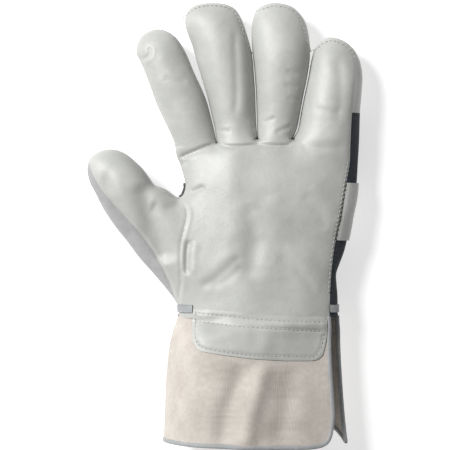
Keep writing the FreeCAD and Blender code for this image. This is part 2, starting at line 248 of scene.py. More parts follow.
def flat_pattern():
    """Triangles over the hand's outline that never cross a seam or a fold line."""
    edges_of_hand = [smooth_path(line, EDGE_STEP) for line in OUTLINES]
    loop = np.vstack([line[:-1] for line in edges_of_hand] + [edges_of_hand[-1][-1:]])
    wrist = smooth_path([loop[-1], loop[0]], GRID_STEP)[1:-1]
    loop = np.vstack([loop, wrist])
    seams = [SIDE_SEAM, THUMB_SEAM, WING_SEAM, BASE_SEAM, INDEX_CREASE, LITTLE_BASE,
             MIDDLE_RING_LINK, thumb_base_line()] + CROSS_LINES
    seams += [fold_line(digit) for digit in DIGITS] + list(TIP_SEAMS.values())
    seams = [smooth_path(line, 1.0) for line in seams]

    # rows that follow the outline, then an even grid inside them
    n = len(loop)
    turn = np.roll(loop, -1, axis=0) - np.roll(loop, 1, axis=0)
    normal = np.column_stack([turn[:, 1], -turn[:, 0]])
    normal /= np.linalg.norm(normal, axis=1)[:, None]
    at_wrist = loop[:, 1] < WRIST_Y - 0.9
    rows = []
    for distance in EDGE_RINGS:
        row = loop + normal * distance
        row = row[~at_wrist]
        gap, _, _ = to_line(row, np.vstack([loop, loop[:1]]))
        rows.append(row[(gap > distance * 0.93) & inside(row, loop)])
    rows = np.vstack(rows)
    low, high = loop.min(0), loop.max(0)
    xs = np.arange(low[0], high[0], GRID_STEP)
    ys = np.arange(low[1], high[1], GRID_STEP * math.sqrt(3) / 2)
    grid = np.array([(x + (k % 2) * GRID_STEP / 2, y) for k, y in enumerate(ys) for x in xs])
    grid = grid[inside(grid, loop)]
    gap, _, _ = to_line(grid, np.vstack([loop, loop[:1]]))
    near_wrist = grid[:, 1] < WRIST_Y + 1
    grid = grid[(gap > EDGE_RINGS[-1] + GRID_STEP * 0.45) | (near_wrist & (gap > 0.5))]
    free = np.vstack([rows, grid])
    for line in seams:
        gap, _, _ = to_line(free, line)
        free = free[gap > 0.42]

    points = [loop]
    constraints = [(k, (k + 1) % n) for k in range(n)]
    base = n
    for line in seams:
        constraints += [(base + k, base + k + 1) for k in range(len(line) - 1)]
        points.append(line)
        base += len(line)
    points.append(free)
    flat = [Vector(p) for p in np.vstack(points)]
    result = delaunay_2d_cdt(flat, constraints, [], 0, 1e-5, True)
    xy = np.array([tuple(v) for v in result[0]])
    tris = np.array([f for f in result[2] if len(f) == 3])
    middle = xy[tris].mean(axis=1)
    tris = tris[inside(middle, loop)]
    tris = facing_up(xy, tris)
    used = np.unique(tris)
    index = np.full(len(xy), -1)
    index[used] = np.arange(len(used))
    cuts = index[np.array([edge for edge, source in zip(result[1], result[4]) if source])]
    return xy[used], index[tris], cuts[(cuts >= 0).all(axis=1)]


def rim_of(tris):
    """Edges that belong to one triangle only."""
    pairs = np.vstack([tris[:, [0, 1]], tris[:, [1, 2]], tris[:, [2, 0]]])
    key = np.sort(pairs, axis=1)
    _, where, count = np.unique(key, axis=0, return_index=True, return_counts=True)
    return pairs[where[count == 1]]


def swell(xy, tris, held, push):
    """The height of a skin that is blown up over its outline, held down at some points."""
    n = len(xy)
    p = xy[tris]
    e = [p[:, 2] - p[:, 1], p[:, 0] - p[:, 2], p[:, 1] - p[:, 0]]
    double = np.abs(e[2][:, 0] * -e[1][:, 1] + e[2][:, 1] * e[1][:, 0])
    double = np.maximum(double, 1e-9)
    rows, columns, values = [], [], []
    for i in range(3):
        j, k = (i + 1) % 3, (i + 2) % 3
        cot = -(e[j] * e[k]).sum(1) / double
        rows += [tris[:, j], tris[:, k]]
        columns += [tris[:, k], tris[:, j]]
        values += [-cot / 2, -cot / 2]
    rows, columns, values = map(np.concatenate, (rows, columns, values))
    diagonal = np.bincount(rows, -values, n)
    load = np.bincount(tris.ravel(), np.repeat(double / 3 * push, 3), n)
    free = ~held
    load = load * free

    def apply(x):
        return (diagonal * x + np.bincount(rows, values * x[columns], n)) * free

    scale = 1 / np.maximum(diagonal, 1e-9)
    x = np.zeros(n)
    r = load - apply(x)
    z = scale * r
    d = z.copy()
    rz = r @ z
    target = 1e-5 * math.sqrt(load @ load)
    for _ in range(2500):
        q = apply(d)
        a = rz / (d @ q)
        x += a * d
        r -= a * q
        if math.sqrt(r @ r) < target:
            break
        z = scale * r
        new = r @ z
        d = z + (new / rz) * d
        rz = new
    return np.maximum(x, 0)


# ---- the form of the hand ------------------------------------------------------------------

THUMB_JOINT = JOINTS["thumb_base"]
THUMB_ACROSS = np.array(THUMB_JOINT["axis"][:2])
THUMB_ALONG = np.array((-THUMB_ACROSS[1], THUMB_ACROSS[0]))
THUMB_CENTRE = np.array(THUMB_JOINT["pos_m"][:2]) / MM


def thumb_place(xy):
    """Places along and across the thumb, from the middle of its base fold."""
    rel = xy - THUMB_CENTRE
    return rel @ THUMB_ALONG, rel @ THUMB_ACROSS


def thumb_share(xy):
    """1 on the thumb, 0 on the hand."""
    return ease(-xy[:, 0], 22, 44) * (xy[:, 1] < 46)


def middle_height(xy):
    """Height of the plane that the skin is swelled from."""
    hand = through([-55, -42, -27, -9, 20, 50, 64, 133],
                   [21.3, 21.3, 21.0, 19.6, 18.8, 17.4, 16.4, 16.2], xy[:, 1])
    along, _ = thumb_place(xy)
    thumb = 20.6 + 3.6 * ease(along, -25, 50)
    share = thumb_share(xy)
    return hand * (1 - share) + thumb * share


def fullness(xy):
    """How strongly the skin is blown up: little on the broad palm, a lot on the digits."""
    palm, root, digit = 0.115, 0.30, 0.80
    finger = ease(xy[:, 1], 36, 64) * (xy[:, 0] > -60)
    push = palm + (digit - palm) * finger
    along, _ = thumb_place(xy)
    thumb = root + (digit - 0.04 - root) * ease(along, -6, 22)
    share = thumb_share(xy)
    return push * (1 - share) + thumb * share


# creases and folds: path, how deep, how wide, and the height of the ridge on its left side
THUMB_MARKS = [
    ([(-70.5, 34), (-68.8, 22.2), (-65.0, 12.5), (-59.0, 2.0), (-52.0, -10.0)], 0.9, 3.0, 0.3),
    ([(-49.0, 27.0), (-46.5, 14.0), (-42.5, 1.0), (-38.5, -10.0), (-34.6, -24.4)], 2.6, 6.0, 0.0),
    ([(-25.9, 15.0), (-29.5, 11.1), (-36.4, 9.5), (-44.2, 12.3)], 1.2, 3.2, 0.0),
]
PALM_MARKS = [
    ([(0.0, 52.0), (5.0, 26.0), (7.0, 0.0), (3.0, -30.0)], -1.7, 11.0, 0.0),
    ([(-21.2, -8.0), (-22.4, -18.0), (-22.6, -30.0)], 1.7, 1.9, 0.4),
    ([(-20.5, 18.5), (-16.4, 20.8), (-11.6, 22.6)], 1.1, 1.6, 0.2),
    ([(-28.9, 34.5), (-25.3, 36.9), (-21.7, 37.5)], 0.9, 1.5, 0.1),
    ([(-28.3, 39.3), (-20.5, 42.3), (-11.6, 45.3), (-3.0, 47.4)], 1.5, 2.0, 0.0),
    ([(-15.6, -37.4), (-5.7, -31.6), (4.5, -22.6), (10.2, -17.0)], 0.55, 2.4, 0.25),
    ([(-8.4, -37.0), (2.1, -31.4), (11.0, -23.4)], 0.35, 2.4, 0.2),
    ([(12.0, 14.0), (17.0, -4.0), (14.0, -34.0)], 1.3, 6.0, 0.6),
    ([(-7.0, 50.5), (3.0, 46.4), (19.0, 47.2), (36.0, 46.8), (41.0, 51.0)], 1.0, 1.3, 0.0),
    ([(44.0, 47.0), (58.0, 45.6), (72.0, 47.0)], 0.5, 2.6, 0.2),
    ([(45.0, 18.0), (54.0, 10.0), (60.0, -4.0)], 0.5, 3.6, 0.3),
    ([(30.0, -18.0), (42.0, -26.0), (54.0, -40.0)], 0.5, 3.0, 0.4),
]
FINGER_MARKS = [
    ([(-45.0, 106.4), (-44.6, 102.0), (-46.7, 99.4), (-51.5, 98.3)], 0.9, 1.1, 0.3),
    ([(-37.0, 88.0), (-30.0, 85.0), (-22.0, 85.5)], 0.3, 2.0, 0.2),
    ([(5.7, 119.0), (6.3, 97.7), (6.8, 79.8), (5.7, 61.9)], 0.7, 2.2, 0.3),
    ([(-3.9, 55.4), (-1.5, 56.0), (3.3, 55.4)], 0.5, 1.0, 0.2),
    ([(36.0, 91.7), (43.8, 89.3)], 0.35, 1.4, 0.2),
    ([(35.4, 83.4), (43.2, 81.0)], 0.4, 1.4, 0.2),
    ([(36.6, 75.6), (43.8, 73.8)], 0.3, 1.4, 0.2),
    ([(22.3, 60.7), (25.9, 61.9), (30.1, 63.7)], 0.5, 1.1, 0.2),
    ([(29.5, 54.2), (33.1, 56.0), (40.2, 59.0)], 0.5, 1.2, 0.2),
    ([(66.6, 100.7), (68.4, 79.8), (66.2, 58.9)], 0.6, 3.0, 0.3),
    ([(52.0, 70.0), (60.0, 67.0), (70.0, 67.5)], 0.3, 2.0, 0.2),
]
SEAM_MARKS = [(SIDE_SEAM, 0.55, 0.8, 0.1), (THUMB_SEAM, 0.7, 0.8, 0.25), (WING_SEAM, 0.5, 0.9, 0.25),
              (BASE_SEAM, 0.6, 0.7, 0.15), (INDEX_CREASE, 0.6, 0.8, 0.1)]


def crease(xy, path, depth, width, ridge):
    """How far a fold lowers and lifts the skin: a groove on the path, a ridge on its left."""
    line = smooth_path(path, 1.0)
    gap, share, side = to_line(xy, line)
    taper = ease(share, 0.0, 0.16) * (1 - ease(share, 0.84, 1.0))
    signed = gap * side
    groove = np.exp(-(gap / width) ** 2) * depth
    lip = np.exp(-((signed - 2.1 * width) / (1.3 * width)) ** 2) * ridge
    return (lip - groove) * taper


def ripple(xy, size, seed):
    """Soft unevenness, about 1 high."""
    return np.array([noise.noise((x / size, y / size, seed)) for x, y in xy]) * 1.6


def hand_skin():
    xy, tris, cuts = flat_pattern()
    rim = rim_of(tris)
    held = np.zeros(len(xy), bool)
    at_wrist = xy[:, 1] < WRIST_Y - 0.95
    for a, b in rim:
        if not (at_wrist[a] and at_wrist[b]):
            held[[a, b]] = True
    height = np.sqrt(swell(xy, tris, held, fullness(xy)[tris].mean(axis=1)))
    middle = middle_height(xy)
    calm = ease(height, 0.5, 7.0)
    marks = np.zeros(len(xy))
    for mark in THUMB_MARKS + PALM_MARKS + FINGER_MARKS:
        marks += crease(xy, *mark)
    for mark in SEAM_MARKS:
        marks += crease(xy, *mark)
    soft = ripple(xy, 19.0, 2.0) * 0.45 + ripple(xy, 7.0, 5.0) * 0.08
    top = middle + height + calm * (marks + soft)
    front = np.column_stack([xy, top])
    gather = np.sin(xy[:, 0] * 0.9 + 1.7 * ripple(xy, 12.0, 1.0))
    gather *= np.exp(-((xy[:, 1] + 27.5) / 6.0) ** 2) * ease(xy[:, 0], -14, -4)
    slack = ripple(xy, 16.0, 9.0) * 0.4 + ripple(xy, 6.0, 3.0) * 0.12
    below = height * 0.97 + 0.55 * calm * gather + calm * slack
    under = middle - below
    floor = 1.9
    under = np.where(under < floor + 1, floor + 0.4 * np.logaddexp(0, (under - floor) / 0.4), under)
    back = np.column_stack([xy, np.where(held, top, under)])
    return xy, tris, cuts, held, front, back


# ---- the sewn pieces -----------------------------------------------------------------------


def regions(tris, cuts):
    """A number for each triangle, the same for all that no seam parts."""
    pairs = np.sort(np.vstack([tris[:, [0, 1]], tris[:, [1, 2]], tris[:, [2, 0]]]), axis=1)
    owner = np.tile(np.arange(len(tris)), 3)
    size = tris.max() + 1
    key = pairs[:, 0] * size + pairs[:, 1]
    cuts = np.sort(cuts, axis=1)
    order = np.argsort(key, kind="stable")
    key, owner = key[order], owner[order]
    joined = (key[1:] == key[:-1]) & ~np.isin(key[1:], cuts[:, 0] * size + cuts[:, 1])
    a, b = owner[:-1][joined], owner[1:][joined]
    label = np.arange(len(tris))
    while True:
        new = label.copy()
        np.minimum.at(new, a, label[b])
        np.minimum.at(new, b, label[a])
        new = new[new]
        if (new == label).all():
            return label
        label = new


def over(line, points):
    """Which points lie above a line that runs from left to right."""
    line = np.array(line, float)
    return points[:, 1] > np.interp(points[:, 0], line[:, 0], line[:, 1])


def right_of(line, points):
    """Which points lie to the right of a line that runs up and down."""
    line = np.array(sorted(line, key=lambda p: p[1]), float)
    return points[:, 0] > np.interp(points[:, 1], line[:, 1], line[:, 0])


def guess_pieces(xy, tris):
    """Roughly which piece each triangle belongs to, on the palm side and on the back."""
    c = xy[tris].mean(axis=1)
    count = len(c)
    digit = np.full(count, "hand", dtype=object)
    fingers = over(KNUCKLE_LINE, c) & (c[:, 0] > -60)
    for name, low, high in (("index", -60, -5), ("middle", -5, 19.3), ("ring", 19.3, 40.6),
                            ("little", 40.6, 100)):
        digit[fingers & (c[:, 0] > low) & (c[:, 0] <= high)] = name
    for name, line in (("index", INDEX_OUTLINE), ("middle", MIDDLE_OUTLINE),
                       ("ring", RING_OUTLINE), ("little", LITTLE_OUTLINE)):
        digit[inside(c, smooth_path(line, 1.0)) & fingers & (c[:, 1] > 53)] = name
    thumb = ~right_of(WING_SEAM, c) & (c[:, 0] < -20) & (digit == "hand")
    digit[thumb & (c[:, 1] < 17.5)] = "thumb"
    digit[(digit == "hand") & (c[:, 0] < -31) & (c[:, 1] < 46)] = "thumb"

    along, _ = thumb_place(c)
    thumb_fold, _ = thumb_place(np.array([JOINTS["thumb_middle"]["pos_m"][:2]]) / MM)
    strip = right_of(SIDE_SEAM, c) & (c[:, 1] < 100)
    _, _, side = to_line(c, smooth_path(THUMB_SEAM, 1.0))
    thumb_strip = (side < 0) & (c[:, 1] < 38.6)
    palm_side = np.empty(count, dtype=object)
    back_side = np.empty(count, dtype=object)
    hand = digit == "hand"
    palm_side[hand] = "palm_leather"
    palm_side[hand & strip] = "back_panel"
    back_side[hand] = "back_panel"
    for name in FINGERS:
        mine = digit == name
        tip = mine & (c[:, 1] > JOINTS[name + "_middle"]["pos_m"][1] / MM)
        low = mine & ~tip
        palm_side[low] = name + "_front_lower"
        back_side[low] = name + "_back_lower"
        palm_side[tip] = name + "_front_tip"
        back_side[tip] = name + "_tip_cap"
        if name == "little":
            palm_side[low & strip] = "little_back_lower"
            palm_side[tip & strip] = "little_tip_cap"
        if name in TIP_SEAMS:
            line = smooth_path(TIP_SEAMS[name], 0.7)
            gap, _, side = to_line(c, line)
            beyond = tip & (side > 0) & (gap < 4) & (c[:, 1] > line[:, 1].min())
            palm_side[beyond] = name + "_tip_cap"
    for name, mask in (("root", along <= 0), ("lower", (along > 0) & (along <= thumb_fold[0])),
                       ("tip", along > thumb_fold[0])):
        mine = (digit == "thumb") & mask
        root = name == "root"
        back_side[mine] = "thumb_root_back" if root else "thumb_back_" + name
        palm_side[mine] = "thumb_root_front" if root else "thumb_front_" + name
        palm_side[mine & thumb_strip] = back_side[mine & thumb_strip]
    tape = (c[:, 1] > TAPE_LOW) & (c[:, 1] < TAPE_HIGH) & hand
    strap = (c[:, 1] > STRAP_LOW) & (c[:, 1] < STRAP_HIGH) & hand
    none = np.zeros(count, bool)
    trim = {"knuckle_strap": (strap & strip, strap), "wrist_tape": (tape & strip, tape),
            "wrist_tape_front": (tape & (c[:, 0] < TAPE_END_X), none)}
    return palm_side, back_side, trim


def by_region(region, values):
    """Each region takes the value that most of its triangles have."""
    names, code = np.unique(values.astype(str), return_inverse=True)
    _, group = np.unique(region, return_inverse=True)
    votes = np.zeros((group.max() + 1, len(names)), int)
    np.add.at(votes, (group, code), 1)
    return names[votes.argmax(axis=1)][group]


# ---- meshes --------------------------------------------------------------------------------


def vertex_normals(points, faces):
    normal = np.cross(points[faces[:, 1]] - points[faces[:, 0]],
                      points[faces[:, 2]] - points[faces[:, 0]])
    total = np.column_stack([np.bincount(faces.ravel(), np.repeat(normal[:, i], 3), len(points))
                             for i in range(3)])
    return total / np.maximum(np.linalg.norm(total, axis=1), 1e-12)[:, None]


def add_object(name, points, faces, normals=None):
    mesh = bpy.data.meshes.new(name)
    mesh.from_pydata((np.asarray(points) * MM).tolist(), [], [list(map(int, f)) for f in faces])
    mesh.shade_smooth()
    if normals is not None:
        mesh.normals_split_custom_set_from_vertices(np.asarray(normals).tolist())
    obj = bpy.data.objects.new(name, mesh)
    bpy.context.scene.collection.objects.link(obj)
    return obj


def sheet_piece(name, points, faces, normals, thickness, lift=0.0):
    """A closed sheet: the given faces outside, a copy of them inside and a rim between."""
    used = np.unique(faces)
    index = np.full(len(points), -1)
    index[used] = np.arange(len(used))
    outer = points[used] + normals[used] * lift
    inner = outer - normals[used] * thickness
    f = index[faces]
    count = len(used)
    rim_faces = [(b, a, a + count, b + count) for a, b in rim_of(f)]
    all_faces = f.tolist() + (f[:, ::-1] + count).tolist() + rim_faces
    all_normals = np.vstack([normals[used], -normals[used]])
    return add_object(name, np.vstack([outer, inner]), all_faces, all_normals)


# ---- the hand ------------------------------------------------------------------------------

xy, tris, cuts, held, front, back = hand_skin()
palm_side, back_side, trim = guess_pieces(xy, tris)
region = regions(tris, cuts)
palm_side = by_region(region, palm_side)
back_side = by_region(region, back_side)
for name, (on_palm, on_back) in trim.items():
    trim[name] = (by_region(region, on_palm) == "True", by_region(region, on_back) == "True")

point_count = len(xy)
skin = np.vstack([front, back])
back_index = np.arange(point_count) + point_count
back_index[held] = np.arange(point_count)[held]
front_faces = tris
back_faces = back_index[tris][:, ::-1]
skin_faces = np.vstack([front_faces, back_faces])
skin_labels = np.concatenate([palm_side, back_side])
skin_normals = vertex_normals(skin, skin_faces)

CLOTH_PIECES = ("back_panel", "middle_back_lower", "ring_back_lower", "little_back_lower")
pieces = {}
for label in sorted(set(skin_labels)):
    thickness = CLOTH if label in CLOTH_PIECES else LEATHER
    pieces[label] = sheet_piece(label + "_skin", skin, skin_faces[skin_labels == label],
                                skin_normals, thickness)
for label, (on_palm, on_back) in trim.items():
    faces = np.vstack([front_faces[on_palm], back_faces[on_back]])
    thick = STRAP if label == "knuckle_strap" else TAPE
    pieces[label] = sheet_piece(label + "_skin", skin, faces, skin_normals, thick, lift=thick + 0.1)
lining_faces = skin_faces[np.isin(skin_labels, ["palm_leather"])]
pieces["palm_lining"] = sheet_piece("palm_lining_skin", skin, lining_faces, skin_normals, 0.6,
                                    lift=-LEATHER - 0.15)
spot = xy[tris].mean(axis=1)
on_elastic = (np.abs(spot[:, 1] + 27.5) < 4.0) & (spot[:, 0] > -10) & (spot[:, 0] < 60)
pieces["wrist_elastic"] = sheet_piece("wrist_elastic_skin", skin, back_faces[on_elastic],
                                      skin_normals, 0.8, lift=-CLOTH - 0.15)


# ---- the cuff ------------------------------------------------------------------------------

CUFF_TOP = -54.3
CUFF_LEFT = ([-134, -128, -110, -90, -75, -66, -58, -51],
             [-35.4, -35.1, -34.5, -33.6, -32.2, -30.5, -28.2, -27.4])
CUFF_RIGHT = ([-134, -128, -120, -105, -90, -75, -62, -51],
              [72.7, 71.2, 70.2, 68.9, 67.9, 67.1, 66.9, 67.2])
CUFF_MIDDLE = ([-134, -100, -51], [23.6, 22.8, 21.2])
CUFF_DEPTH = ([-134, -95, -70, -51], [21.6, 20.6, 18.6, 17.0])
SLIT_FRONT = 26.0
SLIT_BACK = 357.0
# how far the cuff reaches up inside the back of the hand
BACK_REACH = 5.5
# the hem, as the turn round the cuff and the height of its edge
HEM = ([26, 28.5, 31.5, 36, 44, 58, 80, 100, 140, 180, 225, 270, 300, 322, 334, 345, 357],
       [-113, -119, -124.6, -128.4, -131.0, -132.0, -131.8, -131.2, -129.6, -127.9, -125.5, -121.5,
        -118.5, -118.8, -121.5, -126, -130])
CUFF_MARKS = [
    ([(11.0, -80.0), (6.0, -96.0), (0.5, -112.0), (-3.0, -134.0)], 2.6, 6.5, 0.0),
    ([(24.0, -79.0), (19.0, -98.0), (13.5, -120.0), (11.0, -134.0)], -2.2, 5.0, 0.0),
    ([(40.0, -80.0), (37.0, -100.0), (31.0, -134.0)], 1.6, 7.0, 0.0),
    ([(-24.0, -76.0), (-25.0, -96.0), (-27.0, -132.0)], 0.5, 3.5, 0.0),
    ([(-12.0, -84.0), (-14.0, -108.0), (-13.0, -134.0)], 0.5, 4.5, 0.0),
]


def even(places, values, at):
    """Values between stations on a smooth line that doesn't stop at each one."""
    line = smooth_path(list(zip(places, values)), (places[-1] - places[0]) / 400)
    return np.interp(at, line[:, 0], line[:, 1])


def behind(turn):
    """1 on the back of the cuff, 0 on its front."""
    return ease(-np.sin(np.radians(turn)), 0.0, 0.35)


def cuff_surface(turn, y, reach_in=1.0):
    left = even(*CUFF_LEFT, y)
    right = even(*CUFF_RIGHT, y)
    angle = np.radians(turn)
    tuck = reach_in * ease(y, -63.0, -55.0)
    half = (right - left) / 2 - 0.7 * tuck
    depth = even(*CUFF_DEPTH, y) - (2.3 + 0.6 * behind(turn)) * tuck
    x = (left + right) / 2 + half * np.cos(angle)
    z = even(*CUFF_MIDDLE, y) + depth * np.sin(angle)
    flat = np.column_stack([x.ravel(), y.ravel()])
    front = np.zeros(len(flat))
    for mark in CUFF_MARKS:
        front += crease(flat, *mark)
    soft = ripple(flat, 24.0, 4.0) * 0.6 + ripple(flat, 9.0, 7.0) * 0.12
    facing = np.sin(angle)
    lean = -0.2 * (x - 18.0) * (1 - tuck)
    z = z + ((lean + front.reshape(x.shape)) * ease(facing, 0.1, 0.8)
             + soft.reshape(x.shape)) * np.abs(facing) * ease(CUFF_TOP - y, 0, 14)
    return np.stack([x, y, z], axis=-1)


def grid_tris(rows, columns):
    r, c = np.meshgrid(np.arange(rows - 1), np.arange(columns - 1), indexing="ij")
    a = (r * columns + c).ravel()
    return np.vstack([np.column_stack([a, a + columns, a + columns + 1]),
                      np.column_stack([a, a + columns + 1, a + 1])])


def cuff_grid(rows=84, columns=260):
    turns = np.linspace(SLIT_FRONT, SLIT_BACK, columns)
    share = np.linspace(0, 1, rows)[:, None]
    top = (CUFF_TOP + BACK_REACH * behind(turns))[None, :]
    y = top + (even(*HEM, turns)[None, :] - top) * share
    return cuff_surface(np.broadcast_to(turns, y.shape), y)


cuff_points = cuff_grid()
rows, columns = cuff_points.shape[:2]
cuff_flat = cuff_points.reshape(-1, 3)
cuff_faces = grid_tris(rows, columns)
cuff_normals = vertex_normals(cuff_flat, cuff_faces)
pieces["cuff_canvas"] = sheet_piece("cuff_canvas_skin", cuff_flat, cuff_faces, cuff_normals, CANVAS)


def resample(path, normal, step):
    """Even steps along a path, with its normals."""
    length = np.concatenate([[0], np.cumsum(np.linalg.norm(np.diff(path, axis=0), axis=1))])
    at = np.linspace(0, length[-1], int(length[-1] / step))
    path = np.column_stack([np.interp(at, length, path[:, i]) for i in range(3)])
    normal = np.column_stack([np.interp(at, length, normal[:, i]) for i in range(3)])
    return path, normal / np.linalg.norm(normal, axis=1)[:, None]


def across_path(path, normal):
    ahead = np.gradient(path, axis=0)
    across = np.cross(normal, ahead)
    return across / np.linalg.norm(across, axis=1)[:, None]


def swept(name, path, normal, profile):
    """A closed profile of (across, up) points carried along a path."""
    across = across_path(path, normal)
    rings = np.stack([path + across * a + normal * u for a, u in profile], axis=1)
    rows, columns = rings.shape[:2]
    faces = []
    for r in range(rows - 1):
        for c in range(columns):
            d = (c + 1) % columns
            faces.append((r * columns + c, r * columns + d, (r + 1) * columns + d,
                          (r + 1) * columns + c))
    faces.append(tuple(range(columns))[::-1])
    faces.append(tuple((rows - 1) * columns + c for c in range(columns)))
    obj = add_object(name, rings.reshape(-1, 3), faces)
    turned = bmesh.new()
    turned.from_mesh(obj.data)
    bmesh.ops.recalc_face_normals(turned, faces=turned.faces)
    turned.to_mesh(obj.data)
    turned.free()
    return obj


def cuff_edge():
    """Down the front edge of the slit, round the hem and up the back edge."""
    m = cuff_normals.reshape(cuff_points.shape)
    path = np.vstack([cuff_points[:-1, 0], cuff_points[-1], cuff_points[-2::-1, -1]])
    normal = np.vstack([m[:-1, 0], m[-1], m[-2::-1, -1]])
    for _ in range(6):
        path[1:-1] = (path[:-2] + 2 * path[1:-1] + path[2:]) / 4
        normal[1:-1] = (normal[:-2] + 2 * normal[1:-1] + normal[2:]) / 4
    return resample(path, normal, 0.9)


edge_path, edge_normal = cuff_edge()
BINDING = [(2.0, 0.12), (1.85, 0.42), (1.0, 0.55), (0.0, 0.5), (-0.5, 0.1), (-0.65, -0.65),
           (-0.5, -1.4), (0.0, -1.8), (1.0, -1.85), (1.85, -1.72), (2.0, -1.42), (1.0, -1.38),
           (0.3, -1.3), (0.15, -0.65), (0.3, 0.0), (1.0, 0.08)]
inward = np.array([10.0, CUFF_TOP - 40, 22.0]) - edge_path[30]
into = 1.0 if across_path(edge_path, edge_normal)[30] @ inward > 0 else -1.0
pieces["cuff_binding"] = swept("cuff_binding_skin", edge_path, edge_normal,
                               [(a * into, u) for a, u in BINDING])

# ---- the pulse patch -----------------------------------------------------------------------

PATCH_TOP = [(-18.8, -49.6), (-8, -50.0), (4, -51.0), (18, -52.3), (32, -52.9), (46, -53.4),
             (60.0, -53.6)]
PATCH_RIGHT = [(60.0, -53.6), (60.4, -60), (60.2, -66), (58.8, -73), (57.6, -77), (54.8, -79.4)]
PATCH_BOTTOM = [(54.8, -79.4), (50.0, -80.1), (34, -79.8), (18, -78.7), (6, -77.3), (-6, -75.6),
                (-13.6, -74.2), (-16.4, -72.6)]
PATCH_LEFT = [(-16.4, -72.6), (-18.4, -69.4), (-19.3, -66), (-19.5, -58), (-18.8, -49.6)]
PATCH_GRAIN = 0.9


def patch_pattern():
    """Triangles over the patch, with even rows inside its outline."""
    sides = [smooth_path(line, PATCH_GRAIN)
             for line in (PATCH_TOP, PATCH_RIGHT, PATCH_BOTTOM, PATCH_LEFT)]
    loop = np.vstack([line[:-1] for line in sides])
    low, high = loop.min(0), loop.max(0)
    grid = np.array([(x + (k % 2) * PATCH_GRAIN / 2, y)
                     for k, y in enumerate(np.arange(low[1], high[1], PATCH_GRAIN * 0.87))
                     for x in np.arange(low[0], high[0], PATCH_GRAIN)])
    gap, _, _ = to_line(grid, np.vstack([loop, loop[:1]]))
    grid = grid[inside(grid, loop) & (gap > PATCH_GRAIN * 0.5)]
    n = len(loop)
    flat = [Vector(p) for p in np.vstack([loop, grid])]
    ring = [(k, (k + 1) % n) for k in range(n)]
    result = delaunay_2d_cdt(flat, ring, [], 0, 1e-5, False)
    xy = np.array([tuple(v) for v in result[0]])
    tris = np.array(result[2])
    tris = tris[inside(xy[tris].mean(axis=1), loop)]
    return xy, facing_up(xy, tris), loop


def tree_over(points):
    """A search tree that finds points by their place in plan."""
    tree = KDTree(len(points))
    for k, point in enumerate(points):
        tree.insert((point[0], point[1], 0.0), k)
    tree.balance()
    return tree


hand_tree = tree_over(front)


def hand_top(xy):
    """Height of the palm side under each point."""
    result = []
    for x, y in xy:
        near = hand_tree.find_n((x, y, 0.0), 3)
        weight = np.array([1 / (distance + 0.05) for _, _, distance in near])
        result.append(float(np.array([front[k, 2] for _, k, _ in near]) @ weight / weight.sum()))
    return np.array(result)


def cuff_top(xy):
    left = even(*CUFF_LEFT, xy[:, 1])
    right = even(*CUFF_RIGHT, xy[:, 1])
    share = (xy[:, 0] - (left + right) / 2) / ((right - left) / 2)
    turn = np.degrees(np.arccos(np.clip(share, -0.995, 0.995)))
    return cuff_surface(turn, xy[:, 1], 0.5)[:, 2]


def wrist_top(xy):
    """The upper of hand and cuff, rounded where they meet."""
    a, b = hand_top(xy), cuff_top(xy)
    share = ease(xy[:, 1], -56.5, -51.5)
    return np.maximum(a * share + b * (1 - share), b - 0.4 * share)


patch_xy, patch_tris, patch_loop = patch_pattern()
edge_gap, _, _ = to_line(patch_xy, np.vstack([patch_loop, patch_loop[:1]]))
top_gap, _, _ = to_line(patch_xy, smooth_path(PATCH_TOP, 1.0))
lift = 0.35 + 1.55 * ease(top_gap, 0.0, 6.0) + 0.5 * ease(edge_gap, 0.2, 2.4)
lift += 0.4 * ripple(patch_xy, 11.0, 6.0) * ease(edge_gap, 1, 6)
ROW_UP = [(-17.5, -51.4), (-8.6, -52.6), (3.3, -53.8), (15.2, -55.2), (27.1, -56.0), (45.0, -56.9),
          (57.6, -57.1)]
ROW_LOW = [(-17.0, -56.6), (3.3, -59.0), (15.2, -60.1), (39.0, -61.6), (57.6, -62.8)]
ROW_ROUND = [(-17.3, -52.8), (-17.6, -58.4), (-17.5, -66.1), (-16.0, -69.7), (-14.2, -71.6),
             (-7.4, -73.3), (15.2, -76.2), (39.0, -77.4), (50.6, -77.7), (53.9, -76.6),
             (56.6, -72.5), (58.2, -64.5)]
for line in (ROW_UP, ROW_LOW, ROW_ROUND):
    gap, _, _ = to_line(patch_xy, smooth_path(line, 1.0))
    lift -= 0.55 * np.exp(-(gap / 0.75) ** 2)
patch_points = np.column_stack([patch_xy, wrist_top(patch_xy) + lift])
patch_normals = vertex_normals(patch_points, patch_tris)
pieces["pulse_patch"] = sheet_piece("pulse_patch_skin", patch_points, patch_tris, patch_normals,
                                    LEATHER)

# ---- stitches ------------------------------------------------------------------------------


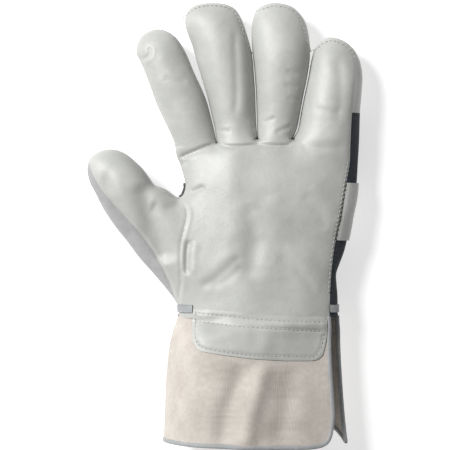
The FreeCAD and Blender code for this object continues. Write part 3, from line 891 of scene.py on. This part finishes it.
def stitch_nodes():
    """Stitches set along the edges of a mesh, each turned a little by chance."""
    tree = bpy.data.node_groups.new("row_of_stitches", "GeometryNodeTree")
    face = tree.interface
    face.new_socket("Path", in_out="INPUT", socket_type="NodeSocketGeometry")
    for name, value in (("Pitch", 0.0026), ("Length", 0.0018), ("Thickness", 0.0003),
                        ("Sway", 0.08)):
        socket = face.new_socket(name, in_out="INPUT", socket_type="NodeSocketFloat")
        socket.default_value = value
    face.new_socket("Seed", in_out="INPUT", socket_type="NodeSocketInt").default_value = 3
    face.new_socket("Thread", in_out="INPUT", socket_type="NodeSocketMaterial")
    face.new_socket("Stitches", in_out="OUTPUT", socket_type="NodeSocketGeometry")
    new = tree.nodes.new
    source = new("NodeGroupInput").outputs
    curve = new("GeometryNodeMeshToCurve")
    even_steps = new("GeometryNodeResampleCurve")
    even_steps.mode = "LENGTH"
    bead = new("GeometryNodeMeshUVSphere")
    bead.inputs["Segments"].default_value = 10
    bead.inputs["Rings"].default_value = 7
    bead.inputs["Radius"].default_value = 1.0
    half = new("ShaderNodeMath")
    half.operation = "MULTIPLY"
    half.inputs[1].default_value = 0.5
    size = new("ShaderNodeCombineXYZ")
    spread = new("GeometryNodeInstanceOnPoints")
    tangent = new("GeometryNodeInputTangent")
    aim = new("FunctionNodeAlignRotationToVector")
    aim.axis = "Z"
    chance = new("FunctionNodeRandomValue")
    less = new("ShaderNodeMath")
    less.operation = "MULTIPLY"
    less.inputs[1].default_value = -1.0
    tilt = new("ShaderNodeCombineXYZ")
    to_turn = new("FunctionNodeEulerToRotation")
    turned = new("FunctionNodeRotateRotation")
    turned.rotation_space = "LOCAL"
    real = new("GeometryNodeRealizeInstances")
    smooth = new("GeometryNodeSetShadeSmooth")
    paint = new("GeometryNodeSetMaterial")
    out = new("NodeGroupOutput")
    for start, end in (
            (source["Path"], curve.inputs["Mesh"]),
            (curve.outputs["Curve"], even_steps.inputs["Curve"]),
            (source["Pitch"], even_steps.inputs["Length"]),
            (even_steps.outputs["Curve"], spread.inputs["Points"]),
            (bead.outputs["Mesh"], spread.inputs["Instance"]),
            (source["Length"], half.inputs[0]),
            (source["Thickness"], size.inputs["X"]),
            (source["Thickness"], size.inputs["Y"]),
            (half.outputs[0], size.inputs["Z"]),
            (size.outputs[0], spread.inputs["Scale"]),
            (tangent.outputs[0], aim.inputs["Vector"]),
            (source["Sway"], chance.inputs[3]),
            (source["Sway"], less.inputs[0]),
            (less.outputs[0], chance.inputs[2]),
            (source["Seed"], chance.inputs["Seed"]),
            (chance.outputs[1], tilt.inputs["X"]),
            (chance.outputs[1], tilt.inputs["Y"]),
            (tilt.outputs[0], to_turn.inputs[0]),
            (aim.outputs[0], turned.inputs["Rotation"]),
            (to_turn.outputs[0], turned.inputs["Rotate By"]),
            (turned.outputs[0], spread.inputs["Rotation"]),
            (spread.outputs["Instances"], real.inputs["Geometry"]),
            (real.outputs["Geometry"], smooth.inputs["Geometry"]),
            (smooth.outputs["Geometry"], paint.inputs["Geometry"]),
            (source["Thread"], paint.inputs["Material"]),
            (paint.outputs["Geometry"], out.inputs["Stitches"])):
        tree.links.new(start, end)
    return tree


STITCHES = stitch_nodes()
SOCKETS = {item.name: item.identifier for item in STITCHES.interface.items_tree}


def stitch_row(name, paths, thread, pitch=0.0026, length=0.0017, seed=3):
    """One mesh of stitches along some paths, given in metres."""
    mesh = bpy.data.meshes.new(name + "_path")
    points = np.vstack(paths)
    edges = []
    base = 0
    for path in paths:
        edges += [(base + k, base + k + 1) for k in range(len(path) - 1)]
        base += len(path)
    mesh.from_pydata(points.tolist(), edges, [])
    obj = bpy.data.objects.new(name, mesh)
    bpy.context.scene.collection.objects.link(obj)
    nodes = obj.modifiers.new("stitches", "NODES")
    nodes.node_group = STITCHES
    nodes[SOCKETS["Pitch"]] = pitch
    nodes[SOCKETS["Length"]] = length
    nodes[SOCKETS["Thickness"]] = 0.0003
    nodes[SOCKETS["Sway"]] = 0.07
    nodes[SOCKETS["Seed"]] = seed
    nodes[SOCKETS["Thread"]] = thread
    bpy.context.view_layer.update()
    seen = obj.evaluated_get(bpy.context.evaluated_depsgraph_get())
    baked = bpy.data.meshes.new_from_object(seen)
    obj.modifiers.clear()
    obj.data = baked
    baked.name = name
    return obj


# ---- materials -----------------------------------------------------------------------------


def effect(name, inputs, outputs):
    """An empty node group with those sockets."""
    tree = bpy.data.node_groups.new(name, "ShaderNodeTree")
    kinds = {"float": "NodeSocketFloat", "color": "NodeSocketColor", "vector": "NodeSocketVector"}
    for label, kind, value in inputs:
        socket = tree.interface.new_socket(label, in_out="INPUT", socket_type=kinds[kind])
        if value is not None:
            socket.default_value = value
    for label, kind in outputs:
        tree.interface.new_socket(label, in_out="OUTPUT", socket_type=kinds[kind])
    return tree, tree.nodes.new("NodeGroupInput"), tree.nodes.new("NodeGroupOutput")


def maths(tree, kind, a, b=None):
    node = tree.nodes.new("ShaderNodeMath")
    node.operation = kind
    for socket, value in zip(node.inputs, (a, b)):
        if isinstance(value, (int, float)):
            socket.default_value = value
        elif value is not None:
            tree.links.new(value, socket)
    return node.outputs[0]


def texture(tree, kind, place, scale, **settings):
    node = tree.nodes.new(kind)
    tree.links.new(place, node.inputs["Vector"])
    if isinstance(scale, (int, float)):
        node.inputs["Scale"].default_value = scale
    else:
        tree.links.new(scale, node.inputs["Scale"])
    for label, value in settings.items():
        node.inputs[label].default_value = value
    return node


def grain_effect():
    """Leather grain: small cells, soft pores and fine stretch lines."""
    tree, source, out = effect("leather_grain", [
        ("Place", "vector", None), ("Cells per metre", "float", 900.0), ("Nap", "float", 0.2)],
        [("Height", "float"), ("Tone", "float")])
    place = source.outputs["Place"]
    cells = texture(tree, "ShaderNodeTexVoronoi", place, source.outputs["Cells per metre"])
    cells.feature = "DISTANCE_TO_EDGE"
    pebble = maths(tree, "MINIMUM", maths(tree, "MULTIPLY", cells.outputs["Distance"], 3.0), 1.0)
    lines = texture(tree, "ShaderNodeTexNoise", place, 260.0, Detail=4.0, Roughness=0.6,
                    Distortion=0.6)
    broad = texture(tree, "ShaderNodeTexNoise", place, 42.0, Detail=3.0, Roughness=0.55)
    fuzz = texture(tree, "ShaderNodeTexNoise", place, 2600.0, Detail=2.0, Roughness=0.6)
    rough = maths(tree, "MULTIPLY", fuzz.outputs["Fac"], source.outputs["Nap"])
    fine = maths(tree, "ADD", maths(tree, "MULTIPLY", pebble, 0.30),
                 maths(tree, "MULTIPLY", lines.outputs["Fac"], 0.9))
    tree.links.new(maths(tree, "ADD", fine, rough), out.inputs["Height"])
    tone = maths(tree, "ADD", maths(tree, "MULTIPLY", broad.outputs["Fac"], 0.75),
                 maths(tree, "MULTIPLY", lines.outputs["Fac"], 0.25))
    tree.links.new(tone, out.inputs["Tone"])
    return tree


def weave_effect():
    """Cloth: two crossing sets of threads, with a slant for twill, and a little slub."""
    tree, source, out = effect("woven_threads", [
        ("Cloth", "vector", None), ("Threads per metre", "float", 1500.0),
        ("Slant", "float", 0.0), ("Slub", "float", 0.3)],
        [("Height", "float"), ("Tone", "float")])
    parts = tree.nodes.new("ShaderNodeSeparateXYZ")
    tree.links.new(source.outputs["Cloth"], parts.inputs[0])
    turn = maths(tree, "MULTIPLY", source.outputs["Threads per metre"], math.pi)
    across = maths(tree, "MULTIPLY", parts.outputs["X"], turn)
    along = maths(tree, "MULTIPLY", parts.outputs["Y"], turn)
    leaning = maths(tree, "ADD", across, maths(tree, "MULTIPLY", along, source.outputs["Slant"]))
    warp = maths(tree, "ABSOLUTE", maths(tree, "SINE", leaning))
    weft = maths(tree, "ABSOLUTE", maths(tree, "SINE", along))
    weave = maths(tree, "MAXIMUM", warp, maths(tree, "MULTIPLY", weft, 0.85))
    slub = texture(tree, "ShaderNodeTexNoise", source.outputs["Cloth"], 380.0, Detail=3.0,
                   Roughness=0.65)
    lumps = maths(tree, "MULTIPLY", slub.outputs["Fac"], source.outputs["Slub"])
    tree.links.new(maths(tree, "ADD", weave, lumps), out.inputs["Height"])
    broad = texture(tree, "ShaderNodeTexNoise", source.outputs["Cloth"], 55.0, Detail=4.0,
                    Roughness=0.6)
    tone = maths(tree, "ADD", maths(tree, "MULTIPLY", slub.outputs["Fac"], 0.4),
                 maths(tree, "MULTIPLY", broad.outputs["Fac"], 0.6))
    tree.links.new(tone, out.inputs["Tone"])
    return tree


GRAIN = grain_effect()
WEAVE = weave_effect()


def material(name, group, place, low, high, roughness, bump, sheen=0.0, depth=0.0002,
             gloss=0.35, **settings):
    """A Principled material whose colour and bump come from one of the effects."""
    mat = bpy.data.materials.new(name)
    mat.use_nodes = True
    tree = mat.node_tree
    shader = tree.nodes["Principled BSDF"]
    shader.inputs["Roughness"].default_value = roughness
    shader.inputs["Specular IOR Level"].default_value = gloss
    shader.inputs["Sheen Weight"].default_value = sheen
    shader.inputs["Sheen Roughness"].default_value = 0.5
    look = tree.nodes.new("ShaderNodeGroup")
    look.node_tree = group
    if place == "cloth":
        where = tree.nodes.new("ShaderNodeAttribute")
        where.attribute_name = "cloth"
        tree.links.new(where.outputs["Vector"], look.inputs[0])
    else:
        where = tree.nodes.new("ShaderNodeTexCoord")
        tree.links.new(where.outputs["Object"], look.inputs[0])
    for label, value in settings.items():
        look.inputs[label.replace("_", " ")].default_value = value
    ramp = tree.nodes.new("ShaderNodeValToRGB")
    ramp.color_ramp.elements[0].position = 0.32
    ramp.color_ramp.elements[1].position = 0.72
    ramp.color_ramp.elements[0].color = (*low, 1)
    ramp.color_ramp.elements[1].color = (*high, 1)
    tree.links.new(look.outputs["Tone"], ramp.inputs["Fac"])
    tree.links.new(ramp.outputs["Color"], shader.inputs["Base Color"])
    raised = tree.nodes.new("ShaderNodeBump")
    raised.inputs["Strength"].default_value = bump
    raised.inputs["Distance"].default_value = depth
    tree.links.new(look.outputs["Height"], raised.inputs["Height"])
    tree.links.new(raised.outputs["Normal"], shader.inputs["Normal"])
    return mat


palm_leather = material("grain_leather", GRAIN, "object", (0.395, 0.400, 0.378),
                        (0.50, 0.507, 0.485), 0.49, 0.7, gloss=0.6, depth=0.0002, Nap=0.12)
suede = material("split_leather", GRAIN, "object", (0.30, 0.295, 0.30), (0.42, 0.415, 0.415),
                 0.9, 0.7, sheen=0.25, Nap=1.2)
drill = material("navy_drill", WEAVE, "cloth", (0.009, 0.0125, 0.019), (0.023, 0.030, 0.042),
                 0.88, 0.7, sheen=0.15, Threads_per_metre=2300.0, Slant=1.0, Slub=0.3)
canvas_cloth = material("cuff_canvas", WEAVE, "cloth", (0.44, 0.40, 0.355), (0.63, 0.585, 0.535),
                        0.9, 0.5, sheen=0.2, Threads_per_metre=1900.0, Slant=0.0, Slub=0.9)
tape_cloth = material("binding_tape", WEAVE, "cloth", (0.30, 0.312, 0.32), (0.43, 0.44, 0.445),
                      0.8, 0.6, sheen=0.1, Threads_per_metre=2400.0, Slant=0.0, Slub=0.3)
thread_fibre = material("sewing_thread", WEAVE, "object", (0.36, 0.36, 0.34), (0.50, 0.50, 0.48),
                        0.75, 0.5, sheen=0.2, Threads_per_metre=2600.0, Slant=0.7, Slub=0.2)
lining_cloth = material("cotton_lining", WEAVE, "cloth", (0.66, 0.62, 0.54), (0.8, 0.77, 0.7),
                        0.95, 0.6, sheen=0.3, Threads_per_metre=900.0, Slant=0.0, Slub=0.8)
elastic_cloth = material("braided_elastic", WEAVE, "cloth", (0.7, 0.7, 0.68), (0.85, 0.85, 0.83),
                         0.8, 0.7, Threads_per_metre=700.0, Slant=0.0, Slub=0.2)
LOOKS = {"palm_leather": palm_leather, "back_leather": suede, "drill_cloth": drill,
         "cuff_canvas": canvas_cloth, "binding_tape": tape_cloth, "thread": thread_fibre,
         "cotton_lining": lining_cloth, "elastic": elastic_cloth}
SMOOTH_SIDE_OUT = ("knuckle_strap", "pulse_patch", "middle_tip_cap", "ring_tip_cap",
                   "little_tip_cap")
NODE_SLOTS = {part["node"]: part["material_slot"] for part in frame["record"]["subparts"]}


# ---- rows of stitches ----------------------------------------------------------------------


def on_skin(path, back_of_hand=False, lift=0.25):
    """A path on the skin, in metres, from a path over it in millimetres."""
    line = smooth_path(path, 1.0)
    surface = back if back_of_hand else front
    normals = skin_normals[point_count:] if back_of_hand else skin_normals[:point_count]
    result = []
    for x, y in line:
        near = hand_tree.find_n((x, y, 0.0), 3)
        weight = np.array([1 / (gap + 0.05) for _, _, gap in near])
        weight /= weight.sum()
        ids = [k for _, k, _ in near]
        z = float(surface[ids, 2] @ weight)
        up = normals[ids].T @ weight
        result.append(np.array((x, y, z)) + up * lift)
    return np.array(result) * MM


def on_patch(path):
    line = smooth_path(path, 1.0)
    tree = tree_over(patch_points)
    heights = [patch_points[tree.find((x, y, 0.0))[1], 2] for x, y in line]
    for _ in range(3):
        heights[1:-1] = [(a + 2 * b + c) / 4 for a, b, c in
                         zip(heights[:-2], heights[1:-1], heights[2:])]
    return np.column_stack([line, np.array(heights) + 0.12]) * MM


def shifted(path, distance):
    """A path moved sideways in the plane, to its left if distance is positive."""
    line = smooth_path(path, 1.0)
    ahead = np.gradient(line, axis=0)
    ahead /= np.linalg.norm(ahead, axis=1)[:, None]
    return line + np.column_stack([-ahead[:, 1], ahead[:, 0]]) * distance


HEM_STITCH_IN = 1.3
HEM_STITCH_UP = 0.56
rows_of = {
    "patch_thread": [on_patch(ROW_UP), on_patch(ROW_LOW), on_patch(ROW_ROUND)],
    "middle_tip_thread": [on_skin(shifted(TIP_SEAMS["middle"], -0.9))],
    "ring_tip_thread": [on_skin(shifted(TIP_SEAMS["ring"], -0.9))],
    "little_tip_thread": [on_skin(shifted(TIP_SEAMS["little"], -0.9)[:-5])],
    "index_tip_thread": [on_skin([(-48.2, 96.0), (-50.2, 101), (-51, 105.5), (-49.4, 110.3),
                                  (-45.9, 113.2), (-41, 114.9), (-36, 114.2), (-31.6, 111.6),
                                  (-28.4, 107.8), (-24.6, 101)], back_of_hand=True)],
    "thumb_tip_thread": [on_skin([(-79.5, 31), (-79.6, 35.5), (-78.2, 39), (-75, 41.3),
                                  (-70, 42.8), (-64.6, 42.6), (-59.6, 40.4)], back_of_hand=True)],
    "side_seam_thread": [on_skin(shifted([p for p in SIDE_SEAM if 45 > p[1] > -50], -1.3))],
    "strap_thread": [on_skin([(66, STRAP_LOW + 2), (50, STRAP_LOW + 2), (30, STRAP_LOW + 2),
                              (8, STRAP_LOW + 2)], True, 1.55),
                     on_skin([(70, STRAP_HIGH - 2), (50, STRAP_HIGH - 2), (30, STRAP_HIGH - 2),
                              (8, STRAP_HIGH - 2)], True, 1.55)],
}
across = across_path(edge_path, edge_normal) * into
hem_line = edge_path + across * HEM_STITCH_IN + edge_normal * HEM_STITCH_UP
rows_of["binding_thread"] = [hem_line[6:-6] * MM]
for name, paths in rows_of.items():
    pieces[name] = stitch_row(name + "_row", paths, thread_fibre)

# ---- colours, slots, bodies ----------------------------------------------------------------


def cloth_place(obj, points=None):
    """Where each point lies on its cloth, in metres along and across the threads."""
    if points is None:
        points = np.array([tuple(v.co) for v in obj.data.vertices])
    side = np.tanh((points[:, 0] - 0.02) / 0.02)
    spot = np.column_stack([points[:, 0] - points[:, 2] * side, points[:, 1],
                            np.zeros(len(points))])
    layer = obj.data.attributes.new("cloth", "FLOAT_VECTOR", "POINT")
    layer.data.foreach_set("vector", spot.astype(np.float32).ravel())


def joint_point(name):
    return np.array(JOINTS[name]["pos_m"])


KNUCKLE_START = {"index": 0.050, "middle": 0.0525, "ring": 0.0525, "little": 0.050}


def attach(obj, node):
    """Tip threads follow their tip; the other digit pieces but the thumb root, the cuff and the
    patch stay put; the rest follows the hand.
    """
    digit, _, rest = node.partition("_")
    if digit in DIGITS and not node.startswith("thumb_root"):
        if "lower" in rest:
            if digit == "thumb":
                start = joint_point("thumb_base")
            else:
                start = joint_point(digit + "_knuckle")
                start[1] = KNUCKLE_START[digit]
            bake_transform(obj)
            return
        if rest.endswith("thread"):
            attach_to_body(obj, digit + "_tip")
            return
        start = joint_point(digit + "_middle")
        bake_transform(obj)
        return
    if node in ("cuff_canvas", "cuff_binding", "pulse_patch", "patch_thread", "binding_thread"):
        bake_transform(obj)
        return
    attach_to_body(obj, "hand")


for node, obj in pieces.items():
    slot = NODE_SLOTS[node]
    look = palm_leather if node in SMOOTH_SIDE_OUT else LOOKS[slot]
    obj.data.materials.clear()
    obj.data.materials.append(look)
    cloth_place(obj)
    attach(obj, node)
    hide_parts(node)

# ---- studio --------------------------------------------------------------------------------


CAMERA_HEIGHT = 1.7
VIEW_WIDTH = 0.268        # what the camera takes in, at the height of the glove's middle


def studio():
    scene = bpy.context.scene
    mesh = bpy.data.meshes.new("studio_floor")
    mesh.from_pydata([(-6, -6, 0), (6, -6, 0), (6, 6, 0), (-6, 6, 0)], [], [(0, 1, 2, 3)])
    floor = bpy.data.objects.new("studio_floor", mesh)
    scene.collection.objects.link(floor)
    paper = bpy.data.materials.new("white_paper")
    paper.use_nodes = True
    shader = paper.node_tree.nodes["Principled BSDF"]
    shader.inputs["Base Color"].default_value = (0.62, 0.62, 0.62, 1)
    shader.inputs["Emission Color"].default_value = (1, 1, 1, 1)
    shader.inputs["Emission Strength"].default_value = 0.6
    shader.inputs["Roughness"].default_value = 1.0
    shader.inputs["Specular IOR Level"].default_value = 0.0
    mesh.materials.append(paper)

    world = bpy.data.worlds.new("studio")
    scene.world = world
    world.use_nodes = True
    sky = world.node_tree.nodes["Background"]
    sky.inputs["Color"].default_value = (1, 1, 1, 1)
    sky.inputs["Strength"].default_value = 0.23

    def lamp(name, place, size, power):
        light = bpy.data.lights.new(name, "AREA")
        light.shape = "DISK"
        light.size = size
        light.energy = power
        obj = bpy.data.objects.new(name, light)
        obj.location = place
        obj.rotation_euler = (-Vector(place)).to_track_quat("-Z", "Y").to_euler()
        scene.collection.objects.link(obj)

    lamp("soft_key", (-1.35, 0.9, 1.75), 0.9, 74.0)

    camera = bpy.data.objects.new("camera", bpy.data.cameras.new("camera"))
    camera.location = (0, 0, CAMERA_HEIGHT)
    camera.data.lens = camera.data.sensor_width * (CAMERA_HEIGHT - 0.02) / VIEW_WIDTH
    scene.collection.objects.link(camera)
    scene.camera = camera
    scene.view_settings.view_transform = "Standard"


studio()
